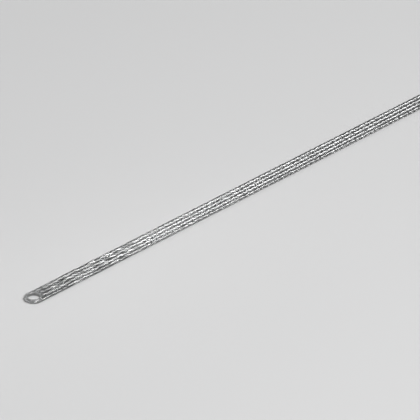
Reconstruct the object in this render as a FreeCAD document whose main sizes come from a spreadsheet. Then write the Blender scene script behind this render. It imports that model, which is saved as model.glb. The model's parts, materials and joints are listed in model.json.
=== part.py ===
import FreeCAD, Part
import Sketcher

import math
import os

# Flat grounding braid: a tinned copper tube braid rolled flat, with a pressed contact ring in each end.
# It lies along X on its rings, on the plane Z = 0, with the origin under the middle of its length.
# Millimetres.

doc = FreeCAD.newDocument("grounding_braid")
sheet = doc.addObject("Spreadsheet::Sheet", "sizes")

DRIVING_SIZES = {
    "hole_pitch": 350.0,  # from the centre of one ring to the centre of the other
    "braid_width": 11.2,
    "braid_thickness": 1.3,
    "bore_diameter": 6.5,  # clears an M6 bolt
    "flange_diameter": 9.0,
    "ring_height": 1.6,  # over both flanges
    "flange_thickness": 0.35,
    "barrel_wall": 0.35,
    "mouth_bevel": 0.25,  # the ring's inner edges, turned outwards
    "rim_bevel": 0.1,  # the ring's outer edges
    "pressed_thickness": 1.1,  # the braid where the press has flattened it round a ring
    "pressed_reach": 6.0,  # from a ring's centre to where the weave starts
    "pressed_edge_bevel": 0.3,
    "weave_relief": 0.2,  # height of a float over the hollows beside it
    "edge_bulge": 0.45,  # height of a float that goes round the edge
    "edge_flat": 0.6,  # height of the band that the edge floats stand on
    "float_pitch_wanted": 4.04,  # along the braid, rounded to a whole count
    "floats_across": 7,  # columns of floats on each face
    "ridge_inset": 0.22,  # share of a float's length that slopes down at each end
}
for row, (alias, value) in enumerate(DRIVING_SIZES.items(), start=1):
    sheet.set(f"A{row}", alias)
    sheet.set(f"B{row}", str(value))
    sheet.setAlias(f"B{row}", alias)
doc.recompute()


def size(alias):
    """A driving dimension, read from the sheet."""
    return float(sheet.get(alias))


def origin_part(body, role):
    """The body's own origin plane or axis with that role."""
    return next(o for o in body.Origin.OriginFeatures if o.Role == role)


def new_sketch(body, name, role):
    """A sketch on one of the body's origin planes."""
    sketch = body.newObject("Sketcher::SketchObject", name)
    sketch.AttachmentSupport = (origin_part(body, role), [""])
    sketch.MapMode = "FlatFace"
    return sketch


def bind(sketch, constraint, expression):
    """Ties a dimension of a sketch to the sheet."""
    sketch.setExpression(f"Constraints[{constraint}]", expression)


def draw_square_profile(sketch, corners):
    """Closed outline of level and upright lines. Each corner is (x, y, x expression, y expression):
    the numbers only start the solver, and the expressions size the corner from the sketch's origin."""
    points = [FreeCAD.Vector(x, y, 0) for x, y, _, _ in corners]
    count = len(points)
    for i in range(count):
        sketch.addGeometry(Part.LineSegment(points[i], points[(i + 1) % count]), False)
    start, end = 1, 2
    for i in range(count):
        following = (i + 1) % count
        sketch.addConstraint(Sketcher.Constraint("Coincident", i, end, following, start))
        level = abs(points[i].y - points[following].y) < 1e-9
        sketch.addConstraint(Sketcher.Constraint("Horizontal" if level else "Vertical", i))
    for i, (x, y, x_expression, y_expression) in enumerate(corners):
        before = points[i - 1]
        if abs(before.x - x) > 1e-9:
            place_corner(sketch, "DistanceX", i, x, x_expression)
        if abs(before.y - y) > 1e-9:
            place_corner(sketch, "DistanceY", i, y, y_expression)


def place_corner(sketch, kind, line, value, expression):
    """Sizes one coordinate of a line's first point, measured from the sketch's origin."""
    start, origin = 1, -1
    if expression == "0":
        axis = -2 if kind == "DistanceX" else -1
        sketch.addConstraint(Sketcher.Constraint("PointOnObject", line, start, axis))
        return
    if value > 0:
        added = sketch.addConstraint(Sketcher.Constraint(kind, origin, start, line, start, value))
        bind(sketch, added, expression)
        return
    added = sketch.addConstraint(Sketcher.Constraint(kind, line, start, origin, start, -value))
    bind(sketch, added, f"-({expression})")


def circle_edges(shape, radius, heights):
    """Names of the shape's full circles of that radius at those heights over the body's origin."""
    names = []
    for number, edge in enumerate(shape.Edges, start=1):
        if not isinstance(edge.Curve, Part.Circle):
            continue
        at_height = any(abs(edge.Curve.Center.z - height) < 1e-6 for height in heights)
        if at_height and abs(edge.Curve.Radius - radius) < 1e-6:
            names.append(f"Edge{number}")
    return names


def bevelled(body, base, name, edges, expression):
    """A chamfer on the named edges of a feature, with its size from the sheet."""
    chamfer = body.newObject("PartDesign::Chamfer", name)
    chamfer.Base = (base, edges)
    chamfer.setExpression("Size", expression)
    doc.recompute()
    return chamfer


HALF_HEIGHT = "sizes.ring_height / 2"
UNDER_FLANGE = f"({HALF_HEIGHT} - sizes.flange_thickness)"
BORE_R = "sizes.bore_diameter / 2"
BARREL_R = f"({BORE_R} + sizes.barrel_wall)"
FLANGE_R = "sizes.flange_diameter / 2"


def ring_corner(radius, height):
    """One corner of the ring's half section, from a (number, expression) pair for each coordinate."""
    return radius[0], height[0], radius[1], height[1]


def section_sizes():
    """The radii and heights that the ring and its seat share, as (number, expression) pairs."""
    half = size("ring_height") / 2
    seat = half - size("flange_thickness")
    bore = size("bore_diameter") / 2
    return {
        "bore": (bore, BORE_R),
        "barrel": (bore + size("barrel_wall"), BARREL_R),
        "flange": (size("flange_diameter") / 2, FLANGE_R),
        "top": (half, HALF_HEIGHT),
        "bottom": (-half, f"-{HALF_HEIGHT}"),
        "upper_seat": (seat, UNDER_FLANGE),
        "lower_seat": (-seat, f"-{UNDER_FLANGE}"),
        "axis": (0.0, "0"),
    }


def contact_ring(label, side):
    """A pressed ring: a barrel through the braid, with a flange turned out over each face."""
    body = doc.addObject("PartDesign::Body", label)
    body.Label = label
    s = section_sizes()
    section = new_sketch(body, f"{label}_section", "XZ_Plane")
    draw_square_profile(
        section,
        [
            ring_corner(s["bore"], s["bottom"]),
            ring_corner(s["flange"], s["bottom"]),
            ring_corner(s["flange"], s["lower_seat"]),
            ring_corner(s["barrel"], s["lower_seat"]),
            ring_corner(s["barrel"], s["upper_seat"]),
            ring_corner(s["flange"], s["upper_seat"]),
            ring_corner(s["flange"], s["top"]),
            ring_corner(s["bore"], s["top"]),
        ],
    )
    turned = body.newObject("PartDesign::Revolution", f"{label}_turned")
    turned.Profile = section
    turned.ReferenceAxis = (section, ["V_Axis"])
    turned.Angle = 360.0
    doc.recompute()
    faces = (s["bottom"][0], s["top"][0])
    mouths = circle_edges(turned.Shape, s["bore"][0], faces)
    mouth = bevelled(body, turned, f"{label}_mouth", mouths, "sizes.mouth_bevel")
    rims = circle_edges(mouth.Shape, s["flange"][0], faces)
    bevelled(body, mouth, f"{label}_rim", rims, "sizes.rim_bevel")
    body.setExpression("Placement.Base.x", f"{side} * sizes.hole_pitch / 2")
    body.setExpression("Placement.Base.z", HALF_HEIGHT)
    return body


def draw_pressed_outline(sketch):
    """A tongue with a round end, centred on the ring: its straight end meets the weave at +X."""
    half = size("braid_width") / 2
    reach = size("pressed_reach")
    centre = FreeCAD.Vector(0, 0, 0)
    corners = [FreeCAD.Vector(x, y, 0) for x, y in ((0, -half), (reach, -half), (reach, half), (0, half))]
    for first, second in zip(corners, corners[1:]):
        sketch.addGeometry(Part.LineSegment(first, second), False)
    circle = Part.Circle(centre, FreeCAD.Vector(0, 0, 1), half)
    sketch.addGeometry(Part.ArcOfCircle(circle, math.pi / 2, 1.5 * math.pi), False)
    near_side, inner_end, far_side, arc = 0, 1, 2, 3
    start, end, middle, origin = 1, 2, 3, -1
    add = sketch.addConstraint
    add(Sketcher.Constraint("Coincident", near_side, end, inner_end, start))
    add(Sketcher.Constraint("Coincident", inner_end, end, far_side, start))
    add(Sketcher.Constraint("Coincident", arc, middle, origin, start))
    add(Sketcher.Constraint("Tangent", far_side, end, arc, start))
    add(Sketcher.Constraint("Tangent", arc, end, near_side, start))
    add(Sketcher.Constraint("Horizontal", near_side))
    add(Sketcher.Constraint("Vertical", inner_end))
    add(Sketcher.Constraint("Horizontal", far_side))
    bind(sketch, add(Sketcher.Constraint("Radius", arc, half)), "sizes.braid_width / 2")
    reached = add(Sketcher.Constraint("DistanceX", origin, start, inner_end, start, reach))
    bind(sketch, reached, "sizes.pressed_reach")


def outer_edges(shape, height):
    """Names of the long outer edges on the faces of a pressed end: its two sides and its round end."""
    half = size("braid_width") / 2
    names = []
    for number, edge in enumerate(shape.Edges, start=1):
        box = edge.BoundBox
        if box.ZLength > 1e-6 or abs(abs(box.ZMin) - height) > 1e-6:
            continue
        along_side = box.YLength < 1e-6 and abs(abs(box.YMin) - half) < 1e-6
        round_end = isinstance(edge.Curve, Part.Circle) and abs(edge.Curve.Radius - half) < 1e-6
        if along_side or round_end:
            names.append(f"Edge{number}")
    return names


def pressed_end(name, side):
    """The end of the braid, pressed flat round its ring, with the ring's seat sunk into both faces."""
    body = doc.addObject("PartDesign::Body", name)
    outline = new_sketch(body, f"{name}_outline", "XY_Plane")
    draw_pressed_outline(outline)
    plate = body.newObject("PartDesign::Pad", f"{name}_plate")
    plate.Profile = outline
    plate.SideType = "Symmetric"
    plate.setExpression("Length", "sizes.pressed_thickness")
    doc.recompute()
    edges = outer_edges(plate.Shape, size("pressed_thickness") / 2)
    bevelled(body, plate, f"{name}_edges", edges, "sizes.pressed_edge_bevel")
    s = section_sizes()
    seat = new_sketch(body, f"{name}_seat", "XZ_Plane")
    draw_square_profile(
        seat,
        [
            ring_corner(s["axis"], s["bottom"]),
            ring_corner(s["flange"], s["bottom"]),
            ring_corner(s["flange"], s["lower_seat"]),
            ring_corner(s["barrel"], s["lower_seat"]),
            ring_corner(s["barrel"], s["upper_seat"]),
            ring_corner(s["flange"], s["upper_seat"]),
            ring_corner(s["flange"], s["top"]),
            ring_corner(s["axis"], s["top"]),
        ],
    )
    sunk = body.newObject("PartDesign::Groove", f"{name}_sunk")
    sunk.Profile = seat
    sunk.ReferenceAxis = (seat, ["V_Axis"])
    sunk.Angle = 360.0
    doc.recompute()
    if side > 0:
        body.Placement.Rotation = FreeCAD.Rotation(FreeCAD.Vector(0, 0, 1), 180)
    body.setExpression("Placement.Base.x", f"{side} * sizes.hole_pitch / 2")
    body.setExpression("Placement.Base.z", HALF_HEIGHT)
    return body


def section_lines():
    """The corners (y, z) of the rolled-flat tube, in turn round its section. A column of floats lies
    between each corner and the next: the top face, one edge, the bottom face and the other edge."""
    across = int(size("floats_across"))
    middle = size("ring_height") / 2
    side = size("braid_width") / 2 - size("edge_bulge")
    crown = size("braid_thickness") / 2 - size("weave_relief")
    shoulder = size("edge_flat") / 2
    top = []
    for i in range(across + 1):
        height = shoulder if i in (0, across) else crown
        top.append((-side + 2 * side * i / across, height))
    bottom = [(-y, -z) for y, z in top]
    return [(y, middle + z) for y, z in top + bottom]


def float_faces(first, second, x, pitch, lean, height):
    """The four faces of one float: a low hipped ridge that crosses its column as it runs along the braid.
    first and second are the column's two lines, x the float's start, and lean its direction, 1 or -1."""
    ahead = x + pitch
    near_x, far_x = (x, ahead) if lean > 0 else (ahead, x)
    near = [FreeCAD.Vector(near_x + step, *first) for step in (0, pitch)]
    far = [FreeCAD.Vector(far_x + step, *second) for step in (0, pitch)]
    along = FreeCAD.Vector(0, second[0] - first[0], second[1] - first[1])
    outward = along.cross(FreeCAD.Vector(-1, 0, 0)).normalize() * height
    near_middle = (near[0] + near[1]) * 0.5
    far_middle = (far[0] + far[1]) * 0.5
    inset = size("ridge_inset")
    ridge_near = near_middle + (far_middle - near_middle) * inset + outward
    ridge_far = far_middle + (near_middle - far_middle) * inset + outward
    return [
        [near[0], near[1], ridge_near],
        [near[1], far[1], ridge_far, ridge_near],
        [far[1], far[0], ridge_far],
        [far[0], near[0], ridge_near, ridge_far],
    ]


def woven_run():
    """The braid between its pressed ends: a flattened tube whose floats lean one way and the other,
    column by column, as the two sets of strands pass over each other."""
    length = size("hole_pitch") - 2 * size("pressed_reach")
    count = round(length / size("float_pitch_wanted"))
    pitch = length / count
    start = -length / 2
    lines = section_lines()
    across = int(size("floats_across"))
    edge_columns = (across, 2 * across + 1)
    outlines = []
    for column, first in enumerate(lines):
        second = lines[(column + 1) % len(lines)]
        lean = -1 if column % 2 == 0 else 1
        height = size("edge_bulge") if column in edge_columns else size("weave_relief")
        for number in range(count - 1):
            outlines += float_faces(first, second, start + number * pitch, pitch, lean, height)
        # The corner left over at each end of the column is plain.
        low, high = (first, second) if lean > 0 else (second, first)
        corner = [(start, low), (start + pitch, high), (start, high)]
        outlines.append([FreeCAD.Vector(x, *line) for x, line in corner])
        corner = [(-start - pitch, low), (-start, low), (-start, high)]
        outlines.append([FreeCAD.Vector(x, *line) for x, line in corner])
    for x in (start, -start):
        outlines.append([FreeCAD.Vector(x, *line) for line in lines])
    faces = [Part.Face(Part.makePolygon(points + points[:1])) for points in outlines]
    shell = Part.makeShell(faces)
    shell.sewShape()
    solid = Part.Solid(shell if isinstance(shell, Part.Shell) else shell.Shells[0])
    if solid.Volume < 0:
        solid.reverse()
    run = doc.addObject("Part::Feature", "woven_run")
    run.Shape = solid
    return run


def flat_braid():
    """The braid as one piece: the woven run with a pressed end at each end."""
    braid = doc.addObject("Part::MultiFuse", "flat_braid")
    braid.Label = "flat_braid"
    braid.Shapes = [woven_run(), pressed_end("pressed_near", -1), pressed_end("pressed_far", 1)]
    return braid


sub_parts = [
    flat_braid(),
    contact_ring("contact_ring_near", -1),
    contact_ring("contact_ring_far", 1),
]
doc.recompute()

for item in doc.Objects:
    if "Invalid" in item.State or "Error" in item.State:
        raise RuntimeError(f"{item.Name} failed: {item.State}")
for item in sub_parts:
    shape = item.Shape
    if shape.isNull() or not shape.isValid() or len(shape.Solids) != 1:
        raise RuntimeError(f"{item.Label} is not one valid solid")

os.makedirs("parts", exist_ok=True)
for item in sub_parts:
    item.Shape.exportStep(f"parts/{item.Label}.step")
    box = item.Shape.BoundBox
    print(item.Label, f"{item.Shape.Volume:.1f} mm3", len(item.Shape.Faces), "faces", box)
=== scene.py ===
"""A flat grounding braid of tinned copper wire, lying on a pale floor, dressed around its solid model."""
import json
import logging
import math
from dataclasses import dataclass, field
from enum import Enum
from typing import Union

import bpy
from mathutils import Matrix, Vector


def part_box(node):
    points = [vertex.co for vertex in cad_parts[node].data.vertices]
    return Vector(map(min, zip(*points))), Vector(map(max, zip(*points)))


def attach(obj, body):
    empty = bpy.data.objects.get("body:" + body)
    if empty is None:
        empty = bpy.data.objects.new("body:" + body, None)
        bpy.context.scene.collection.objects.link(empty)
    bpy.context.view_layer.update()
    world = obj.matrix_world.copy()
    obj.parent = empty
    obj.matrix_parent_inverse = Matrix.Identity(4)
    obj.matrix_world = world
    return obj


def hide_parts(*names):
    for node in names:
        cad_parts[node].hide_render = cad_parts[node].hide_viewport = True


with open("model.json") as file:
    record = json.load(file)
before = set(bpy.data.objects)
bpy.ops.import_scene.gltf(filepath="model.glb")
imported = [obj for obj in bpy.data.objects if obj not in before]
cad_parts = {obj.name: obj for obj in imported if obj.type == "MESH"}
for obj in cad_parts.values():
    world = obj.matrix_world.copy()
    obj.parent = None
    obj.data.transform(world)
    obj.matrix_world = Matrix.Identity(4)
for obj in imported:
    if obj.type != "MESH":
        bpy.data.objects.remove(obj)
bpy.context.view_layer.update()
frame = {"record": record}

MM = 0.001
PHOTO_PIXELS = 420
SENSOR_MM = 36.0
ROOT = "root"
# the attribute that holds real dulling and painted shade, both of which darken the colour
DULLING_AND_SHADE_ATTRIBUTE = "dulling"
CUT_ATTRIBUTE = "under_the_ring"
WIRE_ATTRIBUTE = "wire_number"
ALONG_ATTRIBUTE = "share_of_length"
SIDE_ATTRIBUTE = "wire_side"
BAKE_MAP = "OFBake"
RANDOM_FLOAT_INPUTS = (2, 3, 7, 8)
RANDOM_FLOAT_OUTPUT = 1
MIX_COLOUR_INPUTS = (0, 6, 7)
MIX_COLOUR_OUTPUT = 2

log = logging.getLogger("grounding_braid")
Colour = tuple[float, float, float]
Place = tuple[float, float, float]
Number = Union["Formula", float, int]
Source = Union[Number, str, bpy.types.NodeSocket]


class Lay(Enum):
    """Which way a set of strands winds round the flattened tube, as it runs along +X."""

    TOWARDS_CAMERA = 1
    AWAY_FROM_CAMERA = -1


class Draw(Enum):
    """What a fixed random number is for. The value is added to the seed."""

    WIRE_JITTER = 1
    WIRE_DULLING = 3
    FLOAT_LEAN = 5
    FLOAT_DULLING = 7


def feed(socket: bpy.types.NodeSocket, source: Source) -> None:
    """Links a node's input, or sets it where the source is a plain value.

    Args:
        socket: the input.
        source: a formula, another node's output or a plain value.
    """
    value = source.socket if isinstance(source, Formula) else source
    if isinstance(value, bpy.types.NodeSocket):
        socket.id_data.links.new(value, socket)
    else:
        socket.default_value = value


@dataclass(frozen=True)
class Formula:
    """A number in a node tree. Python's operators on it add the Math nodes that work it out."""

    tree: bpy.types.NodeTree
    socket: bpy.types.NodeSocket

    def math(self, operation: str, *others: Number) -> "Formula":
        """Adds one Math node.

        Args:
            operation: the Math node's operation.
            others: its second and third inputs, each a formula or a plain number.

        Returns:
            The node's result.
        """
        node = self.tree.nodes.new("ShaderNodeMath")
        node.operation = operation
        for socket, value in zip(node.inputs, (self, *others)):
            feed(socket, value)
        return Formula(self.tree, node.outputs[0])

    def __add__(self, other: Number) -> "Formula":
        """The sum."""
        return self.math("ADD", other)

    def __sub__(self, other: Number) -> "Formula":
        """The difference."""
        return self.math("SUBTRACT", other)

    def __mul__(self, other: Number) -> "Formula":
        """The product."""
        return self.math("MULTIPLY", other)

    def __truediv__(self, other: Number) -> "Formula":
        """The quotient."""
        return self.math("DIVIDE", other)

    def __neg__(self) -> "Formula":
        """The number with its sign turned."""
        return self.math("MULTIPLY", -1.0)

    def __abs__(self) -> "Formula":
        """The number without its sign."""
        return self.math("ABSOLUTE")

    def sign(self) -> "Formula":
        """1, 0 or -1."""
        return self.math("SIGN")

    def floor(self) -> "Formula":
        """The whole number at or under it."""
        return self.math("FLOOR")

    def root(self) -> "Formula":
        """The square root."""
        return self.math("SQRT")

    def sin(self) -> "Formula":
        """The sine, of radians."""
        return self.math("SINE")

    def cos(self) -> "Formula":
        """The cosine, of radians."""
        return self.math("COSINE")

    def at_least(self, low: Number) -> "Formula":
        """The larger of the two."""
        return self.math("MAXIMUM", low)

    def at_most(self, high: Number) -> "Formula":
        """The smaller of the two."""
        return self.math("MINIMUM", high)

    def squarer(self, power: float) -> "Formula":
        """A sine or cosine brought nearer to 1 or -1 by a power under 1, with its sign kept."""
        return abs(self).math("POWER", power) * self.sign()

    def flattened(self) -> "Formula":
        """A wave from -1 to 1 with flatter tops and steeper flanks: 1.5 times it, less half its cube."""
        return self * ((self * self) * -0.5 + 1.5)

    def less_than(self, other: Number) -> "Formula":
        """1 where it is the smaller, and 0 elsewhere."""
        return self.math("LESS_THAN", other)

    def wrapped(self, half: Number) -> "Formula":
        """The number brought round into the range from minus half to half."""
        low = -half
        return self.math("WRAP", half, low)

    def eased(self, low: Number, high: Number) -> "Formula":
        """Adds a smooth step.

        Args:
            low: where the step is still 0.
            high: where it has risen to 1.

        Returns:
            The step's height for this number.
        """
        node = self.tree.nodes.new("ShaderNodeMapRange")
        node.interpolation_type = "SMOOTHSTEP"
        for name, value in (("Value", self), ("From Min", low), ("From Max", high)):
            feed(node.inputs[name], value)
        return Formula(self.tree, node.outputs[0])


@dataclass
class StrandTree:
    """The Geometry Nodes tree that lays the wires of some strands round the flattened tube.

    A strand goes over two strands of the other set and under two, and turns aside round the rings.
    """

    name: str = "braided_strands"
    wire_sides: int = 5
    drift_length: float = 14 * MM
    lane_spacing: float = 3.7
    sway_offset: float = 0.25
    slack_offset: float = 0.5
    slack_lane: float = 40.0
    slack_bias: float = 0.5
    fold_power: float = 0.6
    dive_share: float = 0.1
    dive_turn: float = 0.75
    seam_turn: float = 1.31
    worked_share: float = 0.1
    worked_dulling: float = 0.46
    stray_gain: float = 3.5
    wire_dulling: float = 0.15
    # painted shade: wires are darkened by how deep they lie in the weave, where the strands cross and dive
    groove_shade: float = 0.70
    mottle: float = 0.40
    # pressed rim: partly real burnish (smoother metal, lower roughness), partly painted light that lightens
    # the rim's shaded band and takes the painted groove shade off it
    burnish_and_painted_light: float = 0.85
    press_reach: float = 1.35
    press_start: float = -0.5
    squeeze_shares: tuple[float, float] = (0.42, 0.8)
    least_distance: float = 0.01 * MM
    whole_number_margin: float = 1e-4
    strand_label: float = 131.0
    lay_label: float = 4099.0
    strip_fill: float = 0.8
    numbers: tuple[str, ...] = (
        "Lay", "Phase Shift", "Float Pitch", "Strand Spacing", "Wire Spacing", "Wire Radius", "Half Flat",
        "Fold Radius", "Fold Reach", "Lift", "Half Length", "Ring Centre", "End Radius", "Barrel Radius",
        "Cut Radius", "Ring Squeeze", "Rim Squeeze", "Squeeze Reach", "Woven Step", "End Step", "Tip",
        "Wire Jitter", "Wander", "End Wander", "End Sway", "Slack", "End Slack", "Near Reach", "Far Reach",
        "Strand Rounding", "End Lean",
    )
    counts: tuple[str, ...] = (
        "First Strand", "Strands", "Wires", "Points", "End Points", "Woven Points", "Seed",
    )
    tree: bpy.types.NodeTree = field(init=False)
    inputs: bpy.types.Node = field(init=False)
    given: dict[str, Formula] = field(init=False, default_factory=dict)

    def __post_init__(self) -> None:
        """Makes the tree, its named inputs and its nodes."""
        self.tree = bpy.data.node_groups.new(self.name, "GeometryNodeTree")
        sockets = self.tree.interface
        sockets.new_socket("Geometry", in_out="OUTPUT", socket_type="NodeSocketGeometry")
        sockets.new_socket("Geometry", in_out="INPUT", socket_type="NodeSocketGeometry")
        for label in self.numbers:
            sockets.new_socket(label, in_out="INPUT", socket_type="NodeSocketFloat")
        for label in self.counts:
            sockets.new_socket(label, in_out="INPUT", socket_type="NodeSocketInt")
        sockets.new_socket("Material", in_out="INPUT", socket_type="NodeSocketMaterial")
        self.inputs = self.tree.nodes.new("NodeGroupInput")
        labels = self.numbers + self.counts
        self.given = {label: Formula(self.tree, self.inputs.outputs[label]) for label in labels}
        self._build()

    def _node(self, kind: str, **links: Source) -> bpy.types.Node:
        """Adds a node and feeds its inputs.

        Args:
            kind: the node's type.
            links: what each input gets, under the input's name with _ for each space.

        Returns:
            The node.
        """
        node = self.tree.nodes.new(kind)
        for label, value in links.items():
            feed(node.inputs[label.replace("_", " ")], value)
        return node

    def _random(self, label: Formula, draw: Draw) -> Formula:
        """Draws a number from -1 to 1.

        Args:
            label: the number of the thing that it is drawn for. The same label gets the same number.
            draw: what it is for.

        Returns:
            The number.
        """
        node = self.tree.nodes.new("FunctionNodeRandomValue")
        lowest, highest, seed = -1.0, 1.0, self.given["Seed"] + draw.value
        for i, value in zip(RANDOM_FLOAT_INPUTS, (lowest, highest, label, seed)):
            feed(node.inputs[i], value)
        return Formula(self.tree, node.outputs[RANDOM_FLOAT_OUTPUT])

    def _drift(self, x: Formula, lane: Number) -> Formula:
        """Draws a slow change along the braid.

        Args:
            x: the way along it.
            lane: a number for each run of the change, which differs from lane to lane.

        Returns:
            The change, from about -1 to 1.
        """
        across = lane * self.lane_spacing
        place = self._node("ShaderNodeCombineXYZ", X=x / self.drift_length, Y=across, Z=self.given["Seed"])
        noise = self._node("ShaderNodeTexNoise", Vector=place.outputs[0], Scale=1.0, Detail=1.0)
        return (Formula(self.tree, noise.outputs[0]) - 0.5) * 2.0

    def _along(self, index: Formula, lead: Formula) -> Formula:
        """Works out how far along the braid a wire's point is.

        The points are closer together at the two pressed ends and, between them, where the wire dives.

        Args:
            index: the point's number along its wire.
            lead: how far the wire's dives are ahead of its strand's, in float pitches.

        Returns:
            The way along the braid from its middle.
        """
        g = self.given
        start = index.at_most(g["End Points"]) * g["End Step"]
        woven = (index - g["End Points"]).at_least(0.0).at_most(g["Woven Points"]) * g["Woven Step"]
        last = (index - g["End Points"] - g["Woven Points"]).at_least(0.0) * g["End Step"]
        even = start + woven + last - g["Tip"]
        turn = (g["Lay"] * even / g["Float Pitch"] - self.dive_turn) * (2 * math.pi)
        shift = (lead + turn.sin() * self.dive_share) * g["Lay"] * g["Float Pitch"]
        return even - shift * (-abs(even) + g["Ring Centre"]).eased(g["End Radius"], g["Squeeze Reach"])

    def _place(self, index: Formula, number: Formula) -> tuple[Formula, ...]:
        """Works out where a point of a wire lies.

        Args:
            index: the point's number along its wire.
            number: the wire's number in this piece.

        Returns:
            The point's way along the braid, aside and up, then 1 where a ring takes the wire's place,
            and how dull the wire is there plus the painted shade of the grooves.
        """
        g = self.given
        local_strand = (number / g["Wires"] + self.whole_number_margin).floor()
        wire = number - local_strand * g["Wires"]
        strand = local_strand + g["First Strand"]
        jitter = self._random(number, Draw.WIRE_JITTER) * g["Wire Jitter"]
        aside = (wire - (g["Wires"] - 1.0) * 0.5 + jitter) * g["Wire Spacing"]
        x = self._along(index, aside / g["Strand Spacing"] * 0.5)
        reach = g["Far Reach"] + (g["Near Reach"] - g["Far Reach"]) * x.less_than(0.0)
        worked = -(-abs(x) + g["Ring Centre"]).eased(reach * self.worked_share, reach) + 1.0
        strayed = (worked * self.stray_gain).at_most(1.0)
        turn = g["Lay"] * x / g["Float Pitch"]
        lane = strand * g["Lay"]
        sway = self._drift(x + self.sway_offset, 0.0) * strayed * g["End Sway"]
        drift = self._drift(x, lane) * (g["Wander"] + strayed * g["End Wander"]) + sway
        round_tube = (strand + turn + drift + self.seam_turn) * g["Strand Spacing"] + aside
        phase = (strand * 2.0 + turn * 2.0 + aside / g["Strand Spacing"] - g["Phase Shift"]) * (math.pi / 2)
        wave = phase.cos().flattened().flattened()
        loose = self._drift(x + self.slack_offset, lane + self.slack_lane) + self.slack_bias
        slack = loose * (g["Slack"] + strayed * g["End Slack"])
        edge = aside / g["Strand Spacing"] * 2.0
        crowned = (edge * edge) * -g["Strand Rounding"] + 1.0
        turns = (phase / (2 * math.pi) + 0.5).floor()
        own_float = turns + strand * self.strand_label + g["Lay"] * self.lay_label
        lean = self._random(own_float, Draw.FLOAT_LEAN) * strayed * g["End Lean"] * edge * (wave + 1.0)
        lift = wave * g["Lift"] * crowned * (-slack.at_least(0.0) + 1.0).at_least(0.0) + lean
        # depth only feeds the painted groove shade: it is largest where a wire dives under and at a strand's
        # edges
        depth = -wave * crowned + 1.0
        mottled = self._random(own_float, Draw.FLOAT_DULLING) * strayed * self.mottle
        worn = mottled + worked * self.worked_dulling
        own_dulling = self._random(number, Draw.WIRE_DULLING) * self.wire_dulling + self.wire_dulling
        # real dulling (each wire's own tone, the mottled and worked ends) plus painted shade in the grooves
        dulling = own_dulling + worn + depth * self.groove_shade
        *place, cut, pressed = self._pressed(x, *self._on_tube(round_tube, lift))
        # near the rim the dulling and painted shade are taken down: partly real burnish, partly painted
        # light on a band that shading leaves dark
        return *place, cut, dulling * (pressed * -self.burnish_and_painted_light + 1.0)

    def _on_tube(self, round_tube: Formula, lift: Formula) -> tuple[Formula, Formula, Formula]:
        """A place on the flattened tube's section, from the way round it and the height over its wall.

        Args:
            round_tube: the way round the tube, from the middle of its upper face.
            lift: the height over the middle of the tube's wall.

        Returns:
            How far aside the place is, how far up the wall is there, and how far up the lift takes it.
        """
        g = self.given
        arc = g["Fold Radius"] * math.pi
        half_way = g["Half Flat"] * 2.0 + arc
        way = round_tube.wrapped(half_way)
        far = abs(way)
        angle = ((far - g["Half Flat"]) / g["Fold Radius"]).at_least(0.0).at_most(math.pi)
        flat = far.at_most(g["Half Flat"]) - (far - g["Half Flat"] - arc).at_least(0.0)
        outward = (g["Fold Radius"] + lift) * g["Fold Reach"] * angle.sin().squarer(self.fold_power)
        y = -way.sign() * (flat + outward)
        upward = angle.cos().squarer(self.fold_power)
        return y, g["Fold Radius"] * upward, lift * upward

    def _pressed(self, x: Formula, y: Formula, wall: Formula, lift: Formula) -> tuple[Formula, ...]:
        """Trims the ends round, pushes the wires aside round the rings and presses the layers together.

        Args:
            x: the way along the braid from its middle.
            y: how far aside the point is.
            wall: how far up the tube's wall is there.
            lift: how far up the weave takes the point from the wall.

        Returns:
            The point's way along, aside and up, then 1 where a ring takes the wire's place,
            and how far the press closed on it, from 0 to 1.
        """
        g = self.given
        beyond = (abs(x) - g["Ring Centre"]).at_least(0.0)
        share = y / g["End Radius"]
        trimmed = ((share * share) * -1.0 + 1.0).at_least(0.0).root()
        from_ring = abs(x).at_most(g["Ring Centre"]) - g["Ring Centre"] + beyond * trimmed
        far = (from_ring * from_ring + y * y).root().at_least(self.least_distance)
        squeeze = (
            g["Ring Squeeze"]
            + (g["Rim Squeeze"] - g["Ring Squeeze"]) * (far / g["End Radius"]).eased(*self.squeeze_shares)
            + (-g["Rim Squeeze"] + 1.0) * far.eased(g["End Radius"], g["Squeeze Reach"])
        )
        spare = (-far + g["End Radius"]).at_least(0.0) / g["End Radius"]
        aside = spare * g["Barrel Radius"] / far + 1.0
        new_x = x.sign() * (from_ring * aside + g["Ring Centre"])
        near_rim = -far.eased(g["End Radius"], g["End Radius"] * self.press_reach) + 1.0
        pressed = near_rim * from_ring.eased(g["End Radius"] * self.press_start, g["End Radius"])
        return new_x, y * aside, wall * squeeze + lift, far.less_than(g["Cut Radius"]), pressed

    def _on_route(self, x: Formula, y: Formula, z: Formula) -> bpy.types.NodeSocket:
        """Finds a point beside the line that the braid follows.

        Args:
            x: the way along the line from its middle.
            y: how far aside the point is from the line.
            z: how far up it is.

        Returns:
            The point's place.
        """
        spline = self._node("GeometryNodeMeshToCurve", Mesh=self.inputs.outputs["Geometry"])
        route = self._node("GeometryNodeSampleCurve", Curves=spline.outputs[0])
        route.mode = "LENGTH"
        feed(route.inputs["Length"], x + self.given["Half Length"])
        up = self._node("ShaderNodeCombineXYZ", Z=1.0).outputs[0]
        side = self._vector("CROSS_PRODUCT", up, route.outputs["Tangent"])
        aside = self._node("ShaderNodeCombineXYZ", X=y, Y=y, Z=y).outputs[0]
        shift = self._vector("MULTIPLY", side, aside)
        raised = self._node("ShaderNodeCombineXYZ", Z=z).outputs[0]
        return self._vector("ADD", self._vector("ADD", route.outputs["Position"], shift), raised)

    def _vector(self, operation: str, *vectors: bpy.types.NodeSocket) -> bpy.types.NodeSocket:
        """Adds one Vector Math node.

        Args:
            operation: the node's operation.
            vectors: its inputs.

        Returns:
            The node's result.
        """
        node = self.tree.nodes.new("ShaderNodeVectorMath")
        node.operation = operation
        for socket, vector in zip(node.inputs, vectors):
            feed(socket, vector)
        return node.outputs[0]

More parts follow.
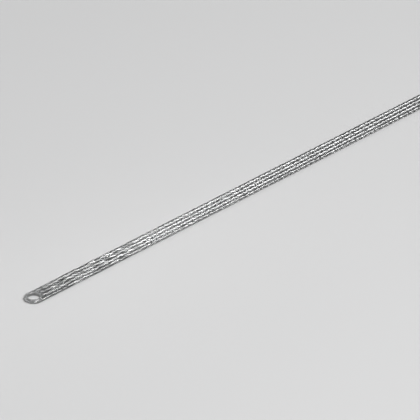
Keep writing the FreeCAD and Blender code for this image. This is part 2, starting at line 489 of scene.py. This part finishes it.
    def _build(self) -> None:
        """Adds the nodes: wires as lines, each point put in its place, cut at the rings, given a section."""
        g = self.given
        line = self._node("GeometryNodeCurvePrimitiveLine")
        points = self._node("GeometryNodeResampleCurve", Curve=line.outputs[0], Count=g["Points"])
        copies = self._node("GeometryNodeDuplicateElements", Geometry=points.outputs[0])
        copies.domain = "SPLINE"
        feed(copies.inputs["Amount"], g["Strands"] * g["Wires"])
        number = Formula(self.tree, copies.outputs["Duplicate Index"])
        index = Formula(self.tree, self._node("GeometryNodeSplineParameter").outputs["Index"])
        x, y, z, cut, dulling = self._place(index, number)
        tinted = self._stored(copies.outputs[0], DULLING_AND_SHADE_ATTRIBUTE, dulling)
        marked = self._stored(tinted, CUT_ATTRIBUTE, cut)
        numbered = self._stored(marked, WIRE_ATTRIBUTE, number)
        measured = self._stored(numbered, ALONG_ATTRIBUTE, x / g["Half Length"] * 0.5 + 0.5)
        laid = self._node("GeometryNodeSetPosition", Geometry=measured, Position=self._on_route(x, y, z))
        edges = self._node("GeometryNodeCurveToMesh", Curve=laid.outputs[0])
        covered = self._node("GeometryNodeInputNamedAttribute", Name=CUT_ATTRIBUTE)
        kept = self._node("GeometryNodeDeleteGeometry", Geometry=edges.outputs[0])
        under_ring = (-Formula(self.tree, covered.outputs[0]) + 0.5).less_than(0.0)
        feed(kept.inputs["Selection"], under_ring)
        plain = self._node("GeometryNodeRemoveAttribute", Geometry=kept.outputs[0], Name=CUT_ATTRIBUTE)
        wires = self._node("GeometryNodeMeshToCurve", Mesh=plain.outputs[0])
        section = self._node(
            "GeometryNodeCurvePrimitiveCircle", Resolution=self.wire_sides, Radius=g["Wire Radius"]
        )
        corner = Formula(self.tree, self._node("GeometryNodeInputIndex").outputs[0])
        sided = self._stored(section.outputs[0], SIDE_ATTRIBUTE, corner)
        skin = self._node(
            "GeometryNodeCurveToMesh", Curve=wires.outputs[0], Profile_Curve=sided, Fill_Caps=True
        )
        smooth = self._node("GeometryNodeSetShadeSmooth", Geometry=self._unrolled(skin.outputs[0]))
        real = self._node("GeometryNodeRealizeInstances", Geometry=smooth.outputs[0])
        dressed = self._node(
            "GeometryNodeSetMaterial", Geometry=real.outputs[0], Material=self.inputs.outputs["Material"]
        )
        end = self.tree.nodes.new("NodeGroupOutput")
        feed(end.inputs[0], dressed.outputs[0])

    def _unrolled(self, skin: bpy.types.NodeSocket) -> bpy.types.NodeSocket:
        """Gives each wire a strip of its own on a UV map for baking.

        The face that closes a wire's round is known by the mean number of its corners, which no other
        face of a wire with an odd number of sides has.

        Args:
            skin: the wires, with their numbers, lengths and sides kept on their points.

        Returns:
            The wires with the map in the place of those numbers.
        """
        names = (WIRE_ATTRIBUTE, ALONG_ATTRIBUTE, SIDE_ATTRIBUTE)
        nodes = [self._node("GeometryNodeInputNamedAttribute", Name=name) for name in names]
        wire, along, side = (Formula(self.tree, node.outputs[0]) for node in nodes)
        whole = self._node("GeometryNodeFieldOnDomain", Value=side)
        whole.domain = "FACE"
        middle = (self.wire_sides - 1) / 2
        tolerance, first_side = 0.25, 0.5
        off_middle = abs(Formula(self.tree, whole.outputs[0]) - middle)
        closing = off_middle.less_than(tolerance) * side.less_than(first_side)
        round_wire = side / self.wire_sides + closing
        strip_start = (1.0 - self.strip_fill) / 2
        own_strip = wire + round_wire * self.strip_fill + strip_start
        strip = own_strip / (self.given["Strands"] * self.given["Wires"])
        place = self._node("ShaderNodeCombineXYZ", X=along, Y=strip)
        kept = self._node("GeometryNodeStoreNamedAttribute", Geometry=skin, Name=BAKE_MAP)
        kept.data_type, kept.domain = "FLOAT2", "CORNER"
        feed(kept.inputs["Value"], place.outputs[0])
        plain = kept.outputs[0]
        for name in names:
            plain = self._node("GeometryNodeRemoveAttribute", Geometry=plain, Name=name).outputs[0]
        return plain

    def _stored(self, geometry: bpy.types.NodeSocket, name: str, value: Formula) -> bpy.types.NodeSocket:
        """Keeps a number on each point.

        Args:
            geometry: what has the points.
            name: the name that the number is kept under.
            value: the number.

        Returns:
            The geometry with the number on it.
        """
        node = self._node("GeometryNodeStoreNamedAttribute", Geometry=geometry, Name=name)
        feed(node.inputs["Value"], value)
        return node.outputs[0]

    def grow(
        self, name: str, route: bpy.types.Mesh, values: dict[str, float], material: bpy.types.Material
    ) -> bpy.types.Object:
        """Runs the tree once.

        Args:
            name: the new piece's name.
            route: the line that the braid follows.
            values: a number for each of the tree's named inputs.
            material: what the wires are made of.

        Returns:
            The piece, a plain mesh with its place in it.
        """
        seedling = bpy.data.objects.new(name, route)
        bpy.context.scene.collection.objects.link(seedling)
        modifier = seedling.modifiers.new(self.name, "NODES")
        modifier.node_group = self.tree
        for item in self.tree.interface.items_tree:
            if item.in_out == "INPUT" and item.name in values:
                modifier[item.identifier] = values[item.name]
            elif item.in_out == "INPUT" and item.name == "Material":
                modifier[item.identifier] = material
        grown = seedling.evaluated_get(bpy.context.evaluated_depsgraph_get())
        mesh = bpy.data.meshes.new_from_object(grown)
        seedling.modifiers.remove(modifier)
        seedling.data = mesh
        mesh.name = name
        return seedling


@dataclass(frozen=True)
class TarnishGroup:
    """The shader node group that gives tin its clouded patches, its fine grain, its dulling and painted
    shade.

    The number kept on the points darkens the colour: real dulling of some wires and of the worked ends, and
    painted shade in the weave's grooves and the rings' bores.
    """

    name: str = "tin_tarnish"
    cloud_detail: float = 4.0
    grain_detail: float = 2.0
    cloud_range: tuple[float, float] = (0.40, 0.66)
    grain_range: tuple[float, float] = (0.35, 0.75)
    cloud_share: float = 0.75
    grain_height: float = 0.6
    least_shade: float = 0.05
    colours: tuple[str, ...] = ("Clean Colour", "Dull Colour")
    numbers: tuple[str, ...] = (
        "Clean Roughness", "Dull Roughness", "Cloud Scale", "Grain Scale", "Dullness", "Dulling",
        "Darkening", "Roughening",
    )

    def tree(self) -> bpy.types.NodeTree:
        """The group, made the first time that it is asked for."""
        made = bpy.data.node_groups.get(self.name)
        return made or self._make()

    def _make(self) -> bpy.types.NodeTree:
        """Builds the group's sockets and nodes.

        Returns:
            The group.
        """
        tree = bpy.data.node_groups.new(self.name, "ShaderNodeTree")
        sockets = tree.interface
        for label in self.colours:
            sockets.new_socket(label, in_out="INPUT", socket_type="NodeSocketColor")
        for label in self.numbers:
            sockets.new_socket(label, in_out="INPUT", socket_type="NodeSocketFloat")
        sockets.new_socket("Colour", in_out="OUTPUT", socket_type="NodeSocketColor")
        for label in ("Roughness", "Height"):
            sockets.new_socket(label, in_out="OUTPUT", socket_type="NodeSocketFloat")
        given, result = tree.nodes.new("NodeGroupInput"), tree.nodes.new("NodeGroupOutput")
        g = {label: Formula(tree, given.outputs[label]) for label in self.numbers}
        place = tree.nodes.new("ShaderNodeTexCoord").outputs["Object"]
        cloud = self._noise(place, g["Cloud Scale"], self.cloud_detail)
        grain = self._noise(place, g["Grain Scale"], self.grain_detail)
        clouded = cloud.eased(*self.cloud_range) * self.cloud_share
        grained = grain.eased(*self.grain_range) * (1.0 - self.cloud_share)
        dull = (clouded + grained) * g["Dullness"]
        mix = tree.nodes.new("ShaderNodeMix")
        mix.data_type = "RGBA"
        sources = (dull, *(given.outputs[label] for label in self.colours))
        for i, source in zip(MIX_COLOUR_INPUTS, sources):
            feed(mix.inputs[i], source)
        shaded = tree.nodes.new("ShaderNodeVectorMath")
        shaded.operation = "SCALE"
        # the colour is darkened by the kept number: real dulling plus painted shade in the grooves and bores
        shade = (-g["Dulling"] * g["Darkening"] + 1.0).at_least(self.least_shade)
        feed(shaded.inputs[0], mix.outputs[MIX_COLOUR_OUTPUT])
        feed(shaded.inputs["Scale"], shade)
        clean, worn = g["Clean Roughness"], g["Dull Roughness"]
        roughness = clean + (worn - clean) * dull + g["Dulling"] * g["Roughening"]
        height = grain * self.grain_height + cloud * (1.0 - self.grain_height)
        feed(result.inputs["Colour"], shaded.outputs[0])
        feed(result.inputs["Roughness"], roughness)
        feed(result.inputs["Height"], height)
        return tree

    @staticmethod
    def _noise(place: bpy.types.NodeSocket, scale: Formula, detail: float) -> Formula:
        """Adds a noise.

        Args:
            place: the coordinates that it is drawn on.
            scale: how fine it is.
            detail: how many finer layers it has.

        Returns:
            The noise, from 0 to 1.
        """
        node = scale.tree.nodes.new("ShaderNodeTexNoise")
        for name, value in (("Vector", place), ("Scale", scale), ("Detail", detail)):
            feed(node.inputs[name], value)
        return Formula(scale.tree, node.outputs[0])


@dataclass(frozen=True)
class TinFinish:
    """Tin plating on copper: its colours and gloss, how clouded and dulled it is, and how much the kept
    dulling and painted shade darken it.
    """

    name: str
    clean: Colour
    dull: Colour
    clean_roughness: float
    dull_roughness: float
    cloud_scale: float
    grain_scale: float
    dullness: float
    bump: float
    bump_distance: float
    darkening: float
    roughening: float

    def material(self) -> bpy.types.Material:
        """Builds the material, with the tarnish group and a Principled shader of its own.

        Returns:
            The finished material.
        """
        made = bpy.data.materials.new(self.name)
        made.use_nodes = True
        tree = made.node_tree
        shader = tree.nodes["Principled BSDF"]
        shader.inputs["Metallic"].default_value = 1.0
        tarnish = tree.nodes.new("ShaderNodeGroup")
        tarnish.node_tree = TarnishGroup().tree()
        values = {
            "Clean Colour": (*self.clean, 1.0),
            "Dull Colour": (*self.dull, 1.0),
            "Clean Roughness": self.clean_roughness,
            "Dull Roughness": self.dull_roughness,
            "Cloud Scale": self.cloud_scale,
            "Grain Scale": self.grain_scale,
            "Dullness": self.dullness,
            "Darkening": self.darkening,
            "Roughening": self.roughening,
        }
        for label, value in values.items():
            tarnish.inputs[label].default_value = value
        # reads the number kept on the points: real dulling plus painted shade
        dulling = tree.nodes.new("ShaderNodeAttribute")
        dulling.attribute_name = DULLING_AND_SHADE_ATTRIBUTE
        tree.links.new(dulling.outputs["Fac"], tarnish.inputs["Dulling"])
        tree.links.new(tarnish.outputs["Colour"], shader.inputs["Base Color"])
        tree.links.new(tarnish.outputs["Roughness"], shader.inputs["Roughness"])
        bump = tree.nodes.new("ShaderNodeBump")
        bump.inputs["Strength"].default_value = self.bump
        bump.inputs["Distance"].default_value = self.bump_distance
        tree.links.new(tarnish.outputs["Height"], bump.inputs["Height"])
        tree.links.new(bump.outputs[0], shader.inputs["Normal"])
        return made


WIRE_FINISH = TinFinish(
    name="tinned_copper_wire",
    clean=(0.73, 0.735, 0.735),
    dull=(0.57, 0.575, 0.573),
    clean_roughness=0.20,
    dull_roughness=0.31,
    cloud_scale=90.0,
    grain_scale=1400.0,
    dullness=0.6,
    bump=0.10,
    bump_distance=0.02 * MM,
    darkening=0.58,
    roughening=0.12,
)
# on the rings the darkening only acts on the painted shade in the bores
RING_FINISH = TinFinish(
    name="tinned_pressed_ring",
    clean=(0.75, 0.755, 0.752),
    dull=(0.53, 0.535, 0.532),
    clean_roughness=0.20,
    dull_roughness=0.38,
    cloud_scale=260.0,
    grain_scale=2600.0,
    dullness=0.8,
    bump=0.25,
    bump_distance=0.03 * MM,
    darkening=0.55,
    roughening=0.15,
)


def new_piece(name: str, points: list[Vector], faces: list[tuple[int, ...]]) -> bpy.types.Object:
    """Makes a mesh object in the scene, at the origin.

    Args:
        name: the object's name.
        points: its vertices, in metres.
        faces: its faces, as vertex numbers.

    Returns:
        The object.
    """
    mesh = bpy.data.meshes.new(name)
    mesh.from_pydata(points, [], faces)
    mesh.update()
    made = bpy.data.objects.new(name, mesh)
    bpy.context.scene.collection.objects.link(made)
    return made


@dataclass
class ContactRing:
    """A ring pressed into the braid's end: a barrel, rolled out into a crowned flange over each face."""

    node: str
    bore_radius: float
    flange_thickness: float = 0.35 * MM
    barrel_wall: float = 0.35 * MM
    mouth_width: float = 0.3 * MM
    mouth_depth: float = 0.3 * MM
    rim_width: float = 0.22 * MM
    rim_drop: float = 0.14 * MM
    rim_edge: float = 0.06 * MM
    segments: int = 128
    arc_steps: int = 10
    sharp_angle: float = 50.0
    centre: Vector = field(init=False)
    flange_radius: float = field(init=False)
    half_height: float = field(init=False)

    def __post_init__(self) -> None:
        """Takes the ring's place and outer size from its solid."""
        low, high = (Vector(corner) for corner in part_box(self.node))
        self.centre = (low + high) / 2
        self.flange_radius = (high.x - low.x) / 2
        self.half_height = (high.z - low.z) / 2

    def _roll(
        self, crown: float, width: float, drop: float, first: float, last: float
    ) -> list[tuple[float, float]]:
        """Draws one rounded edge of the section.

        Args:
            crown: the radius where the rounding meets the flat of the flange.
            width: how far the rounding reaches across the flange.
            drop: how far it reaches down.
            first: the angle that it starts at, in degrees.
            last: the angle that it ends at.

        Returns:
            Its points, as (radius, height over the middle).
        """
        steps = range(self.arc_steps + 1)
        turns = [math.radians(first + (last - first) * i / self.arc_steps) for i in steps]
        return [(crown + width * math.cos(a), self.half_height - drop * (1 - math.sin(a))) for a in turns]

    def _upper_section(self) -> list[tuple[float, float]]:
        """Draws the upper half of the ring's section.

        Returns:
            Its points from the bore to the barrel, as (radius, height over the middle).
        """
        seat = self.half_height - self.flange_thickness
        mouth_crown = self.bore_radius + self.mouth_width
        rim_crown = self.flange_radius - self.rim_width
        section = [(self.bore_radius, 0.0)]
        section += self._roll(mouth_crown, self.mouth_width, self.mouth_depth, 180.0, 90.0)
        section += self._roll(rim_crown, self.rim_width, self.rim_drop, 90.0, 0.0)
        section += [
            (self.flange_radius, seat + self.rim_edge),
            (self.flange_radius - self.rim_edge, seat),
            (self.bore_radius + self.barrel_wall, seat),
        ]
        return section

    def build(self, material: bpy.types.Material) -> bpy.types.Object:
        """Turns the section round the ring's axis.

        Args:
            material: what the ring is made of.

        Returns:
            The ring, which stands for its solid.
        """
        upper = self._upper_section()
        section = upper + [(radius, -height) for radius, height in reversed(upper) if height > 0.0]
        count = len(section)
        points, faces = [], []
        for i in range(self.segments):
            turn = Matrix.Rotation(2 * math.pi * i / self.segments, 3, "Z")
            points += [self.centre + turn @ Vector((radius, 0.0, height)) for radius, height in section]
            for j in range(count):
                here, there = i * count, (i + 1) % self.segments * count
                following = (j + 1) % count
                faces.append((here + j, here + following, there + following, there + j))
        ring = new_piece(f"{self.node}_pressed", points, faces)
        # painted shade: the bore and its mouth are darkened to stand for the dark inside of the hole
        bore_shade = [float(radius < self.bore_radius + self.mouth_width / 2) for radius, _ in section]
        dulling = ring.data.attributes.new(DULLING_AND_SHADE_ATTRIBUTE, "FLOAT", "POINT")
        dulling.data.foreach_set("value", bore_shade * self.segments)
        ring.data.shade_smooth()
        ring.data.set_sharp_from_angle(angle=math.radians(self.sharp_angle))
        ring.data.materials.append(material)
        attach(ring, ROOT)
        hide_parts(self.node)
        return ring


@dataclass
class FlatBraid:
    """The tube braid rolled flat: two sets of strands, each of wires side by side."""

    node: str = "flat_braid"
    strands_each_way: int = 16
    wires: int = 7
    wire_radius: float = 0.1 * MM
    lift: float = 0.21 * MM
    phase_shifts: tuple[float, float] = (0.5, 2.5)
    cover: float = 0.97
    strand_rounding: float = 0.6
    fold_reach: float = 0.77
    float_pitch_wanted: float = 4.02 * MM
    points_per_float: int = 4
    end_step: float = 0.45 * MM
    end_points: int = 26
    strands_per_piece: int = 4
    ring_margin: float = 0.12 * MM
    ring_squeeze: float = 0.40
    rim_squeeze: float = 0.70
    squeeze_reach: float = 20.0 * MM
    cut_radius: float = 1.5 * MM
    wire_jitter: float = 0.08
    wander: float = 0.04
    end_wander: float = 0.44
    end_sway: float = 1.65
    end_lean: float = 0.035 * MM
    slack: float = 0.04
    end_slack: float = 0.5
    near_reach: float = 105.0 * MM
    far_reach: float = 48.0 * MM
    seed: int = 11

    def values(self, ring: ContactRing) -> dict[str, float]:
        """Works out the numbers that every strand shares.

        Args:
            ring: the ring at the near end, which the wires go round.

        Returns:
            A number for each of the strand tree's inputs that doesn't change from piece to piece.
        """
        low, high = (Vector(corner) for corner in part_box(self.node))
        half_width, half_height, tip = (high.y - low.y) / 2, (high.z - low.z) / 2, (high.x - low.x) / 2
        outermost = self.lift + self.wire_radius
        fold = half_height - outermost
        half_flat = half_width - self.wire_radius - (fold + self.lift) * self.fold_reach
        spacing = (4 * half_flat + 2 * math.pi * fold) / self.strands_each_way
        wire_end = tip - self.wire_radius * math.cos(math.atan2(spacing, self.float_pitch_wanted))
        woven_length = 2 * (wire_end - self.end_points * self.end_step)
        half_floats = round(2 * woven_length / self.float_pitch_wanted)
        woven_points = half_floats * self.points_per_float // 2
        woven_step = woven_length / woven_points
        return {
            "Float Pitch": woven_step * self.points_per_float,
            "Strand Spacing": spacing,
            "Wire Spacing": self.cover * spacing / self.wires,
            "Wire Radius": self.wire_radius,
            "Half Flat": half_flat,
            "Fold Radius": fold,
            "Fold Reach": self.fold_reach,
            "Lift": self.lift,
            "Half Length": tip,
            "Ring Centre": abs(ring.centre.x),
            "End Radius": half_width - self.wire_radius,
            "Barrel Radius": ring.bore_radius + ring.barrel_wall + self.ring_margin,
            "Cut Radius": self.cut_radius,
            "Ring Squeeze": self.ring_squeeze,
            "Rim Squeeze": self.rim_squeeze,
            "Squeeze Reach": self.squeeze_reach,
            "Woven Step": woven_step,
            "End Step": self.end_step,
            "Tip": wire_end,
            "Wire Jitter": self.wire_jitter,
            "Wander": self.wander,
            "End Wander": self.end_wander,
            "End Sway": self.end_sway,
            "End Lean": self.end_lean,
            "Slack": self.slack,
            "End Slack": self.end_slack,
            "Near Reach": self.near_reach,
            "Far Reach": self.far_reach,
            "Strand Rounding": self.strand_rounding,
            "Strands": self.strands_per_piece,
            "Wires": self.wires,
            "Points": 2 * self.end_points + woven_points + 1,
            "End Points": self.end_points,
            "Woven Points": woven_points,
            "Seed": self.seed,
        }

    def build(self, ring: ContactRing, material: bpy.types.Material) -> list[bpy.types.Object]:
        """Lays the strands, a few to each piece.

        Args:
            ring: the ring at the near end.
            material: what the wires are made of.

        Returns:
            The pieces, which together stand for the braid's solid.
        """
        tree = StrandTree()
        route = self.route()
        shared = self.values(ring)
        pieces = []
        for lay, shift in zip(Lay, self.phase_shifts):
            label = lay.name.lower()
            for first in range(0, self.strands_each_way, self.strands_per_piece):
                name = f"strands_{label}_{first // self.strands_per_piece + 1}"
                own = {"Lay": float(lay.value), "Phase Shift": shift, "First Strand": first}
                piece = tree.grow(name, route, {**shared, **own}, material)
                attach(piece, ROOT)
                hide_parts(self.node)
                pieces.append(piece)
        return pieces

    def route(self) -> bpy.types.Mesh:
        """Draws the smooth line down the middle of the braid, from its near end to its far one.

        Returns:
            The line as a mesh of points and edges, in order.
        """
        low, high = (Vector(corner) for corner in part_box(self.node))
        middle = (low + high) / 2
        curve = bpy.data.curves.new("braid_route", "CURVE")
        curve.dimensions = "3D"
        spline = curve.splines.new("NURBS")
        spline.points.add(2)
        for point, x in zip(spline.points, (low.x, middle.x, high.x)):
            point.co = (x, middle.y, middle.z, 1.0)
        spline.order_u = 3
        spline.use_endpoint_u = True
        guide = bpy.data.objects.new("braid_route", curve)
        bpy.context.scene.collection.objects.link(guide)
        drawn = guide.evaluated_get(bpy.context.evaluated_depsgraph_get())
        line = bpy.data.meshes.new_from_object(drawn)
        bpy.data.objects.remove(guide)
        return line

    def declare(self) -> None:
        """Reads off the points of the braid's route, and keeps nothing.
        """
        route = [tuple(vertex.co) for vertex in self.route().vertices]


@dataclass(frozen=True)
class Viewpoint:
    """The camera, at the photograph's viewing angle and framing."""

    azimuth: float = -45.0
    elevation: float = 30.5
    distance: float = 3.17
    pixels_per_metre: float = 1854.5
    ring_pixel: tuple[float, float] = (33.8, 296.2)
    clip_end: float = 100.0

    def place(self, target: Vector) -> bpy.types.Object:
        """Sets the camera so that a point shows at its pixel of the photograph.

        Args:
            target: the point, the top of the near ring's centre.

        Returns:
            The camera.
        """
        turn, tilt = math.radians(self.azimuth), math.radians(self.elevation)
        level = math.cos(tilt)
        back = Vector((math.sin(turn) * level, -math.cos(turn) * level, math.sin(tilt)))
        right = Vector((math.cos(turn), math.sin(turn), 0.0))
        up = back.cross(right)
        middle = PHOTO_PIXELS / 2
        across = (self.ring_pixel[0] - middle) / self.pixels_per_metre
        down = (self.ring_pixel[1] - middle) / self.pixels_per_metre
        data = bpy.data.cameras.new("photo_camera")
        data.sensor_width = SENSOR_MM
        data.lens = self.pixels_per_metre * self.distance * SENSOR_MM / PHOTO_PIXELS
        data.clip_end = self.clip_end
        camera = bpy.data.objects.new("photo_camera", data)
        bpy.context.scene.collection.objects.link(camera)
        turned = Matrix((right, up, back)).transposed().to_4x4()
        place = target - right * across + up * down + back * self.distance
        camera.matrix_world = Matrix.Translation(place) @ turned
        bpy.context.scene.camera = camera
        return camera


def hang_lamp(data: bpy.types.Light, place: Place, aim: Place) -> None:
    """Adds a lamp to the scene.

    Args:
        data: what the lamp is.
        place: where it hangs.
        aim: the point that it looks at.
    """
    lamp = bpy.data.objects.new(data.name, data)
    bpy.context.scene.collection.objects.link(lamp)
    lamp.location = place
    towards = Vector(aim) - Vector(place)
    lamp.rotation_euler = towards.to_track_quat("-Z", "Y").to_euler()


@dataclass(frozen=True)
class Softbox:
    """A soft studio lamp that looks at a point of the floor."""

    name: str
    place: Place
    size: tuple[float, float]
    power: float
    aim: Place = (0.0, 0.0, 0.0)

    def hang(self) -> None:
        """Adds the lamp to the scene."""
        data = bpy.data.lights.new(self.name, "AREA")
        data.shape = "RECTANGLE"
        data.size, data.size_y = self.size
        data.energy = self.power
        hang_lamp(data, self.place, self.aim)


@dataclass(frozen=True)
class AccentSpot:
    """A weak spot lamp with a soft edge, which lifts the strands leaning away in the strap's near half."""

    name: str = "accent_spot"
    place: Place = (0.75, -0.1, 0.55)
    aim: Place = (-0.15, 0.0, 0.0)
    cone: float = 10.5
    edge_softness: float = 1.0
    radius: float = 0.06
    power: float = 4.5

    def hang(self) -> None:
        """Adds the lamp to the scene."""
        data = bpy.data.lights.new(self.name, "SPOT")
        data.energy = self.power
        data.spot_size = math.radians(self.cone)
        data.spot_blend = self.edge_softness
        data.shadow_soft_size = self.radius
        hang_lamp(data, self.place, self.aim)


@dataclass(frozen=True)
class Studio:
    """The plain pale floor, the world and the lamps."""

    floor_half: float = 12.0
    floor_colour: Colour = (0.64, 0.64, 0.64)
    floor_roughness: float = 0.9
    floor_gloss: float = 0.1
    sky: Colour = (0.50, 0.51, 0.53)
    sky_strength: float = 0.15
    spot: AccentSpot = AccentSpot()
    lamps: tuple[Softbox, ...] = (
        Softbox("key_softbox", (0.16, -0.86, 1.5), (1.4, 0.55), 22.8, (-0.26, -0.16, 0.0)),
        Softbox("back_softbox", (0.92, 1.1, 0.93), (0.6, 0.5), 0.36),
        Softbox("fill_softbox", (-0.35, 0.1, 2.0), (1.8, 1.8), 10.0),
        Softbox("edge_softbox", (1.25, -0.1, 1.2), (0.5, 0.5), 0.3),
        Softbox("rim_softbox", (1.33, 1.12, 0.5), (0.5, 0.3), 0.9),
        Softbox("left_softbox", (-3.6, 0.0, 2.0), (3.6, 1.4), 28.0),
        Softbox("rear_left_softbox", (-2.6, 2.6, 1.75), (2.2, 1.6), 16.0),
        Softbox("rear_softbox", (-0.3, 3.7, 1.75), (2.2, 1.6), 22.0),
    )

    def set_up(self) -> None:
        """Builds the stage and the light."""
        half = self.floor_half
        signs = ((-1, -1), (1, -1), (1, 1), (-1, 1))
        corners = [Vector((x * half, y * half, 0.0)) for x, y in signs]
        floor = new_piece("studio_floor", corners, [(0, 1, 2, 3)])
        floor.data.materials.append(self._floor_material())
        for lamp in (*self.lamps, self.spot):
            lamp.hang()
        world = bpy.data.worlds.new("studio_world")
        world.use_nodes = True
        background = world.node_tree.nodes["Background"]
        background.inputs["Color"].default_value = (*self.sky, 1.0)
        background.inputs["Strength"].default_value = self.sky_strength
        bpy.context.scene.world = world
        bpy.context.scene.view_settings.view_transform = "Standard"

    def _floor_material(self) -> bpy.types.Material:
        """Builds a matt pale paint.

        Returns:
            The material.
        """
        made = bpy.data.materials.new("pale_floor")
        made.use_nodes = True
        shader = made.node_tree.nodes["Principled BSDF"]
        shader.inputs["Base Color"].default_value = (*self.floor_colour, 1.0)
        shader.inputs["Roughness"].default_value = self.floor_roughness
        shader.inputs["Specular IOR Level"].default_value = self.floor_gloss
        return made


def bore_radius() -> float:
    """The radius of the rings' bores, from the record's mounts."""
    mounts = {mount["name"]: mount for mount in frame["record"]["mounts"]}
    return mounts["near_ring_bore"]["dims"]["r_mm"] * MM


def main() -> None:
    """Builds the camera, the stage, the rings and the braid, and reports each piece."""
    logging.basicConfig(level=logging.INFO, format="%(message)s")
    rings = [ContactRing(node, bore_radius()) for node in ("contact_ring_near", "contact_ring_far")]
    near = rings[0]
    Viewpoint().place(near.centre + Vector((0.0, 0.0, near.half_height)))
    Studio().set_up()
    ring_material = RING_FINISH.material()
    ring_pieces = [ring.build(ring_material) for ring in rings]
    braid = FlatBraid()
    strands = braid.build(near, WIRE_FINISH.material())
    braid.declare()
    for piece in [*ring_pieces, *strands]:
        piece.data.calc_loop_triangles()
        log.info("%s: %d triangles", piece.name, len(piece.data.loop_triangles))


if __name__ == "__main__":
    main()
